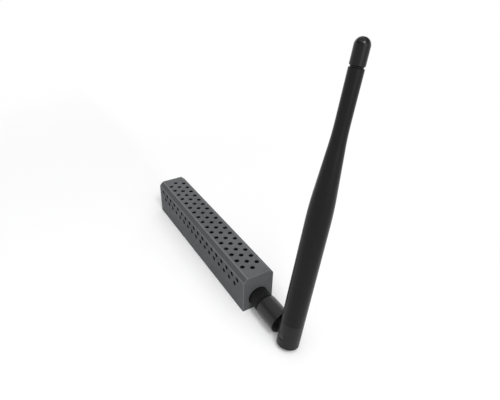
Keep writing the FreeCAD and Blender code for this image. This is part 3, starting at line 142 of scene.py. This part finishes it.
class Nodes:
    """The node tree of one material."""

    def __init__(self, name):
        self.material = bpy.data.materials.new(name)
        self.material.use_nodes = True
        self.tree = self.material.node_tree
        self.tree.nodes.clear()

    def add(self, kind, settings=None, inputs=None, output=0):
        """A node of any kind, with its settings set first and then its sockets."""
        node = self.tree.nodes.new(kind)
        for name, value in (settings or {}).items():
            setattr(node, name, value)
        for name, value in (inputs or {}).items():
            if isinstance(value, Wire):
                self.tree.links.new(value.socket, node.inputs[name])
            else:
                node.inputs[name].default_value = value
        return Wire(self, node.outputs[output]) if node.outputs else None

    def place(self, scale=(1, 1, 1)):
        """Object coordinates, scaled."""
        coordinates = self.add("ShaderNodeTexCoord", output="Object")
        return self.add("ShaderNodeMapping", None, {"Vector": coordinates, "Scale": scale})

    def split(self, place):
        """The three coordinates of a place."""
        return [self.add("ShaderNodeSeparateXYZ", None, {"Vector": place}, output=number)
                for number in range(3)]

    def vector(self, operation, first, second=(0, 0, 0), output=0):
        settings = {"operation": operation}
        return self.add("ShaderNodeVectorMath", settings, {0: first, 1: second}, output)

    def noise(self, place, scale, detail=2, roughness=0.5):
        sockets = {"Vector": place, "Scale": scale, "Detail": detail, "Roughness": roughness}
        return self.add("ShaderNodeTexNoise", None, sockets)

    def grain(self, place, scale):
        """The fine eroded grain of a mould."""
        return self.noise(place, scale, 3, 0.6)

    def cloud(self, place):
        """Soft patches about 17 mm wide."""
        return self.noise(place, CLOUD_SCALE, 3)

    def levels(self, value, low, high, to_low=0, to_high=1):
        """A value's range from low to high, stretched to a new one and held at its ends."""
        sockets = {0: value, 1: low, 2: high, 3: to_low, 4: to_high}
        return self.add("ShaderNodeMapRange", {"clamp": True}, sockets)

    def mixed(self, factor, first, second):
        settings = {"data_type": "RGBA", "blend_type": "MIX"}
        return self.add("ShaderNodeMix", settings, {0: factor, 6: first, 7: second}, output=2)

    def speckled(self, cloud, fine, dark, light, cloud_share=0.6):
        """A colour between two shades, in soft patches with the specks of the grain."""
        speck = cloud_share * cloud + (1 - cloud_share) * fine
        return self.mixed(self.levels(speck, *SPECK_SPAN), dark, light)

    def bump(self, height, distance, strength=GRAIN_STRENGTH):
        sockets = {"Height": height, "Distance": distance, "Strength": strength}
        return self.add("ShaderNodeBump", None, sockets)

    def finish(self, **inputs):
        """The surface, with its constants set straight on the shader."""
        sockets = {name.replace("_", " "): value for name, value in inputs.items()}
        self.add_output(self.add("ShaderNodeBsdfPrincipled", None, sockets))
        return self.material

    def add_output(self, surface):
        self.add("ShaderNodeOutputMaterial", None, {"Surface": surface})

    def seen(self):
        """1 where a ray comes from the camera or off a glossy or clear surface, else 0."""
        camera, glossy, clear = [
            self.add("ShaderNodeLightPath", output=f"Is {kind} Ray")
            for kind in ("Camera", "Glossy", "Transmission")
        ]
        return self.levels(camera + glossy + clear, 0, 1)


def colour(red, green, blue):
    """A colour as a picture writes it, 0 to 255, made linear for the shader."""
    linear = [value / 255 / 12.92 if value <= 10 else ((value / 255 + 0.055) / 1.055) ** 2.4
              for value in (red, green, blue)]
    return (*linear, 1)


def shaded(shade, factor):
    """A colour made lighter or darker."""
    return (*(value * factor for value in shade[:3]), 1)


# Moulded plastics: the grain's scale and depth, and how far a roughness strays
MOULD_GRAIN = 2600
MOULD_DEPTH = 0.00003
MOULD_SPREAD = 0.05
ANTENNA_GRAIN = 3400
ANTENNA_DEPTH = 0.00001
TIP_DEPTH = 0.000005


def moulded(name, shade, roughness, grain=MOULD_GRAIN, depth=MOULD_DEPTH, mottle=0.05,
            specular=0.5):
    """Moulded plastic: a fine eroded grain, and a colour that clouds a little."""
    nodes = Nodes(name)
    place = nodes.place()
    fine = nodes.grain(place, grain)
    dark, light = shaded(shade, 1 - mottle), shaded(shade, 1 + mottle)
    return nodes.finish(
        Base_Color=nodes.speckled(nodes.cloud(place), fine, dark, light),
        Roughness=nodes.levels(fine, *NOISE_SPAN, roughness - MOULD_SPREAD,
                               roughness + MOULD_SPREAD),
        Specular_IOR_Level=specular,
        Normal=nodes.bump(fine, depth),
    )


# Housing: VENT_COAT is how far the grey reaches down the top vents, and below it the holes
# and the inside take a black painted shade. An edge's rounding lies up to EDGE_ROUNDING under
# the faces that meet there; the edges take a painted highlight, the slanted faces a painted shade
HOUSING_DARK = colour(84, 85, 87)
HOUSING_LIGHT = colour(92, 93, 95)
HOUSING_SLANT_SHADE = colour(79, 80, 82)
HOUSING_EDGE_HIGHLIGHT = colour(136, 137, 138)
HOUSING_INSIDE_SHADE = colour(3, 3, 3)
HOUSING_GRAIN = 3000
HOUSING_DEPTH = 0.00004
TOP_CHAMFER = 0.0027
VENT_COAT = 0.0005
EDGE_WIDTH = 0.0004
EDGE_ROUNDING = 0.00018
INSIDE_SHADE_FADE = (0.00002, 0.00006)
SLANT_FADE = (0.0001, 0.0003)
SLANT_ROUGHER = 0.2
EDGE_HIGHLIGHT_SPAN = (0.25, 1)
EDGE_HIGHLIGHT_SHARE = 0.55
EDGE_HIGHLIGHT_SMOOTHER = 0.3
HOUSING_ROUGHNESS = (0.6, 0.78)
HOUSING_SHINE = 0.2


def housing_finish(name):
    """Grey outside with fine grain, painted highlight on edges, black painted shade in holes and inside."""
    low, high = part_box("housing_shell")
    nodes = Nodes(name)
    place = nodes.place()
    x, y, z = nodes.split(place)
    fine = nodes.grain(place, HOUSING_GRAIN)
    cloud = nodes.cloud(place)

    # Distances in from the sides, the ends, the top, the underside and the slanted faces
    across = high[0] - abs(x)
    along = high[1] - abs(y)
    above = high[2] - z
    below = z - low[2]
    slant = (across + above - TOP_CHAMFER) * math.sqrt(0.5)

    # A place on one face counts 1, and a place on the edge between two faces counts 2
    close = sum(nodes.levels(face, 0, EDGE_WIDTH, 1, 0)
                for face in (across, along, above, below, slant))
    depth = across
    for other in (along, above - VENT_COAT, below, slant):
        depth = depth.lesser(other)
    # Painted highlight: a paler colour along the outer edges, in place of light caught by their rounding
    edge_highlight = nodes.levels(close - 1 + 0.5 * cloud, *EDGE_HIGHLIGHT_SPAN)
    rounding = nodes.levels(close, 1, 1.2, 0, EDGE_ROUNDING)
    # Painted shade: black in the top vents below VENT_COAT, in the other holes and on all inside faces
    outside = nodes.levels(depth - rounding, *INSIDE_SHADE_FADE, 1, 0)
    on_slant = nodes.levels(slant, *SLANT_FADE, 1, 0)

    coat = nodes.speckled(cloud, fine, HOUSING_DARK, HOUSING_LIGHT, 0.5)
    # Painted shade: the slanted faces are coloured darker than the top and the sides
    coat = nodes.mixed(on_slant, coat, HOUSING_SLANT_SHADE)
    # Painted highlight on the edges, mixed over the coat
    coat = nodes.mixed(EDGE_HIGHLIGHT_SHARE * edge_highlight, coat, HOUSING_EDGE_HIGHLIGHT)
    roughness = nodes.levels(fine - EDGE_HIGHLIGHT_SMOOTHER * edge_highlight, 0.2, 0.8, *HOUSING_ROUGHNESS)
    return nodes.finish(
        Base_Color=nodes.mixed(outside, HOUSING_INSIDE_SHADE, coat),
        Roughness=SLANT_ROUGHER * on_slant + roughness,
        Specular_IOR_Level=HOUSING_SHINE,
        Normal=nodes.bump(fine, HOUSING_DEPTH),
    )


# Coupling grip: its crests fade to black toward the elbow, over GRIP_FADE, a painted shadow
# of the elbow's rim
GRIP_GROOVE_SHADE = colour(2, 2, 2)
GRIP_CREST_HIGHLIGHT = colour(34, 34, 34)
GRIP_CREST_HEIGHT = 0.0003
GRIP_FADE = (0.0009, 0.0012)
GRIP_ROUGHNESS = (0.42, 0.6)
GRIP_SHINE = 0.22


def knurled(name):
    """Moulded ridges: a grey painted highlight on their crests, black painted shade in the grooves."""
    low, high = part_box("coupling_grip")
    nodes = Nodes(name)
    place = nodes.place()
    x, y, z = nodes.split(place)
    rise = z - (low[2] + high[2]) / 2
    radius = (high[0] - low[0]) / 2
    # Painted highlight on the crests and painted shade in the grooves
    crest = nodes.levels(x * x + rise * rise, (radius - GRIP_CREST_HEIGHT) ** 2, radius ** 2)
    # Painted shadow of the elbow's rim: the crests go black close to the elbow
    crest = crest * nodes.levels(y - low[1], *GRIP_FADE)
    fine = nodes.grain(place, MOULD_GRAIN)
    return nodes.finish(
        Base_Color=nodes.mixed(crest, GRIP_GROOVE_SHADE, GRIP_CREST_HIGHLIGHT),
        Roughness=nodes.levels(fine - 0.4 * crest, -0.1, 0.7, *GRIP_ROUGHNESS),
        Specular_IOR_Level=GRIP_SHINE,
        Normal=nodes.bump(fine, MOULD_DEPTH),
    )


# Whip base: a black painted shade fills the gap round the pin heads, in a round zone a little
# behind and below the pin's middle
BASE_DARK = colour(20, 20, 20)
BASE_LIGHT = colour(24, 24, 24)
BASE_DEPTH = 0.00002
BASE_ROUGHNESS = (0.32, 0.8)
BASE_SHINE = 0.26
PIN_GAP_SHADE = colour(2, 2, 2)
PIN_GAP_SHADE_SHIFT = Vector((0, 0.0005, -0.0003))
PIN_GAP_SHADE_FADE = (0.0025, 0.00253)


def base_finish(name):
    """The whip's plastic, with black painted shade in the gap at the lower rear of the pin heads."""
    middle, axis = hinge()
    nodes = Nodes(name)
    place = nodes.place()
    arm = nodes.vector("SUBTRACT", place, middle + PIN_GAP_SHADE_SHIFT)
    reach = nodes.vector("LENGTH", nodes.vector("CROSS_PRODUCT", arm, axis), output=1)
    # Painted shade: black in the gap round each pin head, at its lower rear
    gap_shade = nodes.levels(reach, *PIN_GAP_SHADE_FADE, 1, 0)
    fine = nodes.grain(place, ANTENNA_GRAIN)
    coat = nodes.speckled(nodes.cloud(place), fine, BASE_DARK, BASE_LIGHT)
    return nodes.finish(
        Base_Color=nodes.mixed(gap_shade, coat, PIN_GAP_SHADE),
        Roughness=nodes.levels(fine + gap_shade, 0.3, 1.7, *BASE_ROUGHNESS),
        Specular_IOR_Level=BASE_SHINE,
        Normal=nodes.bump(fine, BASE_DEPTH),
    )


# Metal: a socket's shell goes dark from MOUTH_BRIGHT to MOUTH_DARK behind its mouth, a
# painted shade for the dark inside the box
METAL_DEEP_SHADE = colour(8, 8, 8)
METAL_DULL = 0.82
METAL_LINES = 900
METAL_LINE_DEPTH = 0.00001
METAL_LINE_STRENGTH = 0.4
METAL_SMOOTHER = 0.06
METAL_ROUGHER = 0.08
METAL_STAINS = 240
ROLLED = (1, 0.05, 1)
MOUTH_BRIGHT = 0.0005
MOUTH_DARK = 0.002


def plated(name, shade, roughness, streaks=(1, 1, 1), mouth=None):
    """Plated or rolled metal: faint lines and small stains, and painted shade behind a mouth's Y."""
    nodes = Nodes(name)
    lines = nodes.noise(nodes.place(streaks), METAL_LINES, 3)
    stain = nodes.levels(nodes.noise(nodes.place(), METAL_STAINS, 2), 0.4, 0.7)
    metal = nodes.mixed(stain, shade, shaded(shade, METAL_DULL))
    # Painted shade deep in the box, behind the mouth
    if mouth is not None:
        y = nodes.split(nodes.place())[1]
        metal = nodes.mixed(nodes.levels(y, mouth - MOUTH_DARK, mouth - MOUTH_BRIGHT),
                            METAL_DEEP_SHADE, metal)
    return nodes.finish(
        Base_Color=metal,
        Metallic=1.0,
        Roughness=nodes.levels(lines, *NOISE_SPAN, roughness - METAL_SMOOTHER,
                               roughness + METAL_ROUGHER),
        Normal=nodes.bump(lines, METAL_LINE_DEPTH, METAL_LINE_STRENGTH),
    )


# Circuit boards
BOARD_RESIST = colour(8, 40, 25)
BOARD_RUN = colour(16, 62, 38)
BOARD_WEAVE = colour(6, 28, 18)
BOARD_RUN_SCALE = 420
BOARD_RUN_WIDTH = 0.09
BOARD_RUN_BLUR = 0.2
BOARD_RUN_DEPTH = 0.00003
BOARD_WEAVE_SCALE = 1800
BOARD_WEAVE_SHARE = 0.35
BOARD_ROUGHNESS = (0.32, 0.42)


def laminate(name):
    """Circuit board: solder resist with copper runs showing through it as paler lines."""
    nodes = Nodes(name)
    bricks = {"Vector": nodes.place(), "Scale": BOARD_RUN_SCALE,
              "Mortar Size": BOARD_RUN_WIDTH, "Mortar Smooth": BOARD_RUN_BLUR}
    runs = nodes.add("ShaderNodeTexBrick", {"offset": 0.5}, bricks, output="Fac")
    weave = nodes.noise(nodes.place(), BOARD_WEAVE_SCALE, 2)
    resist = nodes.mixed(runs, BOARD_RESIST, BOARD_RUN)
    woven = nodes.levels(weave, 0.45, 0.75, 0, BOARD_WEAVE_SHARE)
    return nodes.finish(
        Base_Color=nodes.mixed(woven, resist, BOARD_WEAVE),
        Roughness=nodes.levels(weave, *NOISE_SPAN, *BOARD_ROUGHNESS),
        Normal=nodes.bump(runs, BOARD_RUN_DEPTH),
    )


# The finish of each material slot in the record
FINISHES = {
    "housing_plastic": housing_finish("housing_plastic"),
    "ring_plastic": moulded("ring_plastic", colour(7, 7, 7), 0.5, specular=0.35),
    "antenna_plastic": moulded("antenna_plastic", colour(16, 16, 16), 0.3,
                               ANTENNA_GRAIN, ANTENNA_DEPTH, specular=0.18),
    "black_plastic": moulded("black_plastic", colour(22, 22, 23), 0.5),
    "white_insulator": moulded("white_insulator", colour(226, 224, 216), 0.4, mottle=0.02),
    "cable_black": moulded("cable_black", colour(20, 20, 20), 0.4),
    "board": laminate("board"),
    "shield_metal": plated("shield_metal", colour(66, 65, 63), 0.36, ROLLED),
    "screw_steel": plated("screw_steel", colour(70, 70, 72), 0.35),
    "pin_metal": moulded("pin_metal", colour(25, 25, 25), 0.36, specular=0.34),
    "can_metal": plated("can_metal", colour(160, 160, 162), 0.28),
    "gold_contact": plated("gold_contact", colour(222, 186, 112), 0.25),
}

for name, node in frame["nodes"].items():
    node.data.materials.clear()
    node.data.materials.append(FINISHES[SLOTS[name]])

# Finishes of single pieces, and the one that both sockets' shells share
SOCKET_FINISH = plated("socket_metal", colour(176, 174, 168), 0.3, ROLLED,
                       mouth=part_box("housing_shell")[1][1])
OWN_FINISHES = {
    "ethernet_jack_shell": SOCKET_FINISH,
    "usb_socket_shell": SOCKET_FINISH,
    "elbow": moulded("elbow_plastic", colour(22, 22, 22), 0.28,
                     ANTENNA_GRAIN, ANTENNA_DEPTH, specular=0.4),
    "whip_base": base_finish("base_plastic"),
    "tip_cap": moulded("tip_plastic", colour(6, 6, 6), 0.25,
                       ANTENNA_GRAIN, TIP_DEPTH, specular=0.28),
    "coupling_grip": knurled("grip_plastic"),
}


def add_piece(node_name, mesh):
    """A finished piece in place of a node, on its body and in its slot."""
    slot = SLOTS[node_name]
    mesh.materials.clear()
    mesh.materials.append(OWN_FINISHES.get(node_name, FINISHES[slot]))
    piece = add_object(f"{node_name}_finished", mesh)
    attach(piece, BODIES[node_name])
    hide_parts(node_name)
    shading = piece.modifiers.new("level_faces", "WEIGHTED_NORMAL")
    shading.keep_sharp = True


# Pieces that take a node's own shape, with their edges bevelled by this much
EDGE_BEVELS = {
    "housing_shell": 0,
    "bottom_cover": 0.0002,
    "ethernet_jack_shell": 0.00012,
    "usb_socket_shell": 0,
    "elbow": 0.0002,
    "whip_base": 0.0002,
    "whip_sleeve": 0.00012,
    "tip_cap": 0.00012,
    "coupling_grip": 0,
}
BEVEL_SEGMENTS = 2
CREASE = math.radians(30)
FLAT = math.radians(0.5)
NODE_WELD = 1e-6


def smooth(shape):
    """Smooth faces, with the edges sharper than the crease left crisp."""
    for face in shape.faces:
        face.smooth = True
    for edge in shape.edges:
        edge.smooth = edge.calc_face_angle(0) < CREASE


def refine(node_name, bevel):
    """A node's shape, welded, its sharp edges bevelled and its curves smooth."""
    mesh = frame["nodes"][node_name].data.copy()
    shape = bmesh.new()
    shape.from_mesh(mesh)
    bmesh.ops.remove_doubles(shape, verts=shape.verts, dist=NODE_WELD)
    bmesh.ops.dissolve_limit(shape, angle_limit=FLAT, verts=shape.verts, edges=shape.edges,
                             delimit=set())
    if bevel:
        edges = [edge for edge in shape.edges if edge.calc_face_angle(0) > CREASE]
        bmesh.ops.bevel(shape, geom=edges, offset=bevel, offset_type="OFFSET",
                        segments=BEVEL_SEGMENTS, profile=0.5, affect="EDGES", material=-1,
                        clamp_overlap=True)
    many_sided = [face for face in shape.faces if len(face.verts) > 4]
    bmesh.ops.triangulate(shape, faces=many_sided)
    smooth(shape)
    shape.to_mesh(mesh)
    shape.free()
    add_piece(node_name, mesh)


for node_name, bevel in EDGE_BEVELS.items():
    refine(node_name, bevel)


def join(name, shapes):
    """One mesh from several shapes."""
    whole = bmesh.new()
    for shape in shapes:
        part = bpy.data.meshes.new(name)
        shape.to_mesh(part)
        shape.free()
        whole.from_mesh(part)
        bpy.data.meshes.remove(part)
    smooth(whole)
    mesh = bpy.data.meshes.new(name)
    whole.to_mesh(mesh)
    whole.free()
    return mesh


# Hinge pins: low domed heads that sit in the cheeks of the whip's fork. Reaches are
# measured from the hinge's middle, and the dome is drawn as shares of the head's radius
PIN_SHANK_RADIUS = 0.0012
PIN_HEAD_RADIUS = 0.00212
PIN_INNER_END = 0.00093
PIN_HEAD_START = 0.00531
PIN_DOME = ((1, 0.00625), (0.94, 0.00634), (0.6, 0.00639), (0, 0.00641))
PIN_STEPS = 48
PIN_WELD = 1e-7


def spin(outline):
    """A closed shape spun about Z from its half outline, given as radius and height."""
    shape = bmesh.new()
    verts = [shape.verts.new((radius, 0, height)) for radius, height in outline]
    edges = [shape.edges.new(pair) for pair in zip(verts, verts[1:])]
    bmesh.ops.spin(shape, geom=verts + edges, cent=(0, 0, 0), axis=(0, 0, 1), dvec=(0, 0, 0),
                   angle=math.tau, steps=PIN_STEPS, use_merge=True)
    bmesh.ops.remove_doubles(shape, verts=shape.verts, dist=PIN_WELD)
    bmesh.ops.recalc_face_normals(shape, faces=shape.faces)
    return shape


def make_pins():
    middle, axis = hinge()
    outline = [(0, PIN_INNER_END), (PIN_SHANK_RADIUS, PIN_INNER_END),
               (PIN_SHANK_RADIUS, PIN_HEAD_START), (PIN_HEAD_RADIUS, PIN_HEAD_START)]
    outline += [(PIN_HEAD_RADIUS * share, reach) for share, reach in PIN_DOME]
    pins = []
    for side in (1, -1):
        pin = spin(outline)
        turn = (axis * side).to_track_quat("Z", "Y").to_matrix().to_4x4()
        bmesh.ops.transform(pin, matrix=Matrix.Translation(middle) @ turn, verts=pin.verts)
        pins.append(pin)
    add_piece("hinge_pins", join("hinge_pins", pins))


# Cover screws: countersunk heads with a cross recess, each turned as it happened to stop
SCREW_HEAD_RADIUS = 0.0015
SCREW_HEAD_HEIGHT = 0.0009
SCREW_SHANK_RADIUS = 0.0008
SCREW_POINT_HEIGHT = 0.0002
SCREW_POINT_SHRINK = 0.4
SCREW_SIDES = 32
SCREW_TURNS = (12, 51, 78, 34)
RECESS_HALF_WIDTH = 0.00022
RECESS_REACH = 0.00085
RECESS_DEPTH = 0.0007
RECESS_SHRINK = 0.7


def open_rim(shape):
    """The edges with a face on one side only."""
    return [edge for edge in shape.edges if edge.is_boundary]


def picked(geometry, kind):
    """The vertices or the edges among what an operator gives back."""
    return [item for item in geometry if isinstance(item, kind)]


def raise_rim(shape, rim, rise, shrink=1):
    """A wall drawn up from a rim, and the new rim at its top."""
    grown = bmesh.ops.extrude_edge_only(shape, edges=rim)["geom"]
    verts = picked(grown, bmesh.types.BMVert)
    bmesh.ops.translate(shape, vec=(0, 0, rise), verts=verts)
    bmesh.ops.scale(shape, vec=(shrink, shrink, 1), verts=verts)
    return picked(grown, bmesh.types.BMEdge)


def in_recess(face):
    """Whether a face of the head lies on one of the cross's two arms."""
    near, far = sorted(abs(value) for value in face.calc_center_median()[:2])
    return near < RECESS_HALF_WIDTH and far < RECESS_REACH


def make_screw(height):
    """A screw that stands on its head at the origin, its recess cut up into it."""
    shape = bmesh.new()
    bmesh.ops.create_circle(shape, cap_ends=True, radius=SCREW_HEAD_RADIUS, segments=SCREW_SIDES)
    for place in (RECESS_HALF_WIDTH, RECESS_REACH):
        for direction in (Vector((1, 0, 0)), Vector((0, 1, 0))):
            for side in (1, -1):
                whole = shape.verts[:] + shape.edges[:] + shape.faces[:]
                bmesh.ops.bisect_plane(shape, geom=whole, plane_co=direction * place * side,
                                       plane_no=direction)
    rim = open_rim(shape)
    recess = [face for face in shape.faces if in_recess(face)]
    sunk = bmesh.ops.extrude_face_region(shape, geom=recess)["geom"]
    bmesh.ops.delete(shape, geom=recess, context="FACES")
    floor = picked(sunk, bmesh.types.BMVert)
    bmesh.ops.scale(shape, vec=(RECESS_SHRINK, RECESS_SHRINK, 1), verts=floor)
    bmesh.ops.translate(shape, vec=(0, 0, RECESS_DEPTH), verts=floor)
    rim = raise_rim(shape, rim, SCREW_HEAD_HEIGHT, SCREW_SHANK_RADIUS / SCREW_HEAD_RADIUS)
    rim = raise_rim(shape, rim, height - SCREW_HEAD_HEIGHT - SCREW_POINT_HEIGHT)
    rim = raise_rim(shape, rim, SCREW_POINT_HEIGHT, SCREW_POINT_SHRINK)
    bmesh.ops.contextual_create(shape, geom=rim)
    bmesh.ops.recalc_face_normals(shape, faces=shape.faces)
    return shape


def make_cover_screws():
    low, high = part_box("cover_screws")
    across = high[0] - SCREW_HEAD_RADIUS
    along = high[1] - SCREW_HEAD_RADIUS
    places = [(across * side, along * end) for side in (-1, 1) for end in (-1, 1)]
    screws = []
    for (x, y), turn in zip(places, SCREW_TURNS):
        screw = make_screw(high[2] - low[2])
        place = Matrix.Translation((x, y, low[2])) @ Matrix.Rotation(math.radians(turn), 4, "Z")
        bmesh.ops.transform(screw, matrix=place, verts=screw.verts)
        screws.append(screw)
    add_piece("cover_screws", join("cover_screws", screws))


make_pins()
make_cover_screws()


# Studio: a white floor that takes the shadow and ends in a far white wall. Its own light
# grows from FLOOR_NEAR to FLOOR_FAR about the origin, and to the right of the box, where it is
# painted light that washes out the box's shadow there
FLOOR_PAPER = (0.92, 0.92, 0.92, 1)
FLOOR_NEAR = 0.13
FLOOR_FAR = 0.4
FLOOR_NEAR_SHARE = 0.1
FLOOR_RIGHT = (0.004, 0.025)
FLOOR_RIGHT_PAINTED_LIGHT = 0.6
BACKDROP_RADIUS = 6
BACKDROP_HEIGHT = 2.4
BACKDROP_SIDES = 64
WHITE = (1, 1, 1, 1)
WORLD_STRENGTH = 0.15


def add_floor():
    nodes = Nodes("floor")
    place = nodes.place()
    reach = nodes.vector("LENGTH", place, output=1)
    share = nodes.levels(reach, FLOOR_NEAR, FLOOR_FAR, FLOOR_NEAR_SHARE, 1)
    # Painted light: the floor's own light rises to the right of the box, over its shadow there
    share = share + nodes.levels(nodes.split(place)[0], *FLOOR_RIGHT, 0, FLOOR_RIGHT_PAINTED_LIGHT)
    paper = nodes.add("ShaderNodeBsdfDiffuse", None, {"Color": FLOOR_PAPER})
    lit = nodes.add("ShaderNodeEmission", None, {"Color": WHITE, "Strength": 1.0})
    sockets = {0: share * nodes.seen(), 1: paper, 2: lit}
    nodes.add_output(nodes.add("ShaderNodeMixShader", None, sockets))
    shape = bmesh.new()
    bmesh.ops.create_circle(shape, cap_ends=True, segments=BACKDROP_SIDES,
                            radius=BACKDROP_RADIUS)
    raise_rim(shape, open_rim(shape), BACKDROP_HEIGHT)
    mesh = bpy.data.meshes.new("floor")
    shape.to_mesh(mesh)
    shape.free()
    mesh.materials.append(nodes.material)
    add_object("floor", mesh)


def add_world():
    world = bpy.data.worlds.new("studio")
    scene.world = world
    world.use_nodes = True
    background = world.node_tree.nodes["Background"]
    background.inputs["Color"].default_value = WHITE
    background.inputs["Strength"].default_value = WORLD_STRENGTH


# Lamps: square soft boxes, each with its place, its side and its power
LAMP_AIM = Vector((0, 0, 0.02))
LAMPS = {
    "overhead": ((0, 0, 1.2), 1.6, 7.7),
    "key_wide": ((-0.1, -0.75, 1.0), 1.4, 1.8),
    "key": ((-0.066, -0.65, 0.89), 0.25, 4.2),
    "top_left": ((-0.75, -0.2, 0.95), 1, 1.6),
    "back": ((0, 1.1, 0.5), 0.9, 1.5),
    "back_right": ((0.6, 0.9, 0.6), 1.1, 2.2),
    "back_left": ((-0.6, 0.9, 0.6), 1, 0.7),
    "front": ((0, -1.1, 0.5), 0.9, 3.2),
    "front_right": ((0.6, -0.9, 0.6), 1.1, 0.9),
    "right": ((1.0, 0.1, 0.45), 0.8, 0.5),
}


def add_lamp(name, place, side, power):
    data = bpy.data.lights.new(name, "AREA")
    data.shape = "SQUARE"
    data.size = side
    data.energy = power
    lamp = add_object(name, data)
    lamp.location = place
    lamp.rotation_euler = (LAMP_AIM - Vector(place)).to_track_quat("-Z", "Y").to_euler()


add_camera()
add_floor()
add_world()
for name, (place, side, power) in LAMPS.items():
    add_lamp(name, place, side, power)
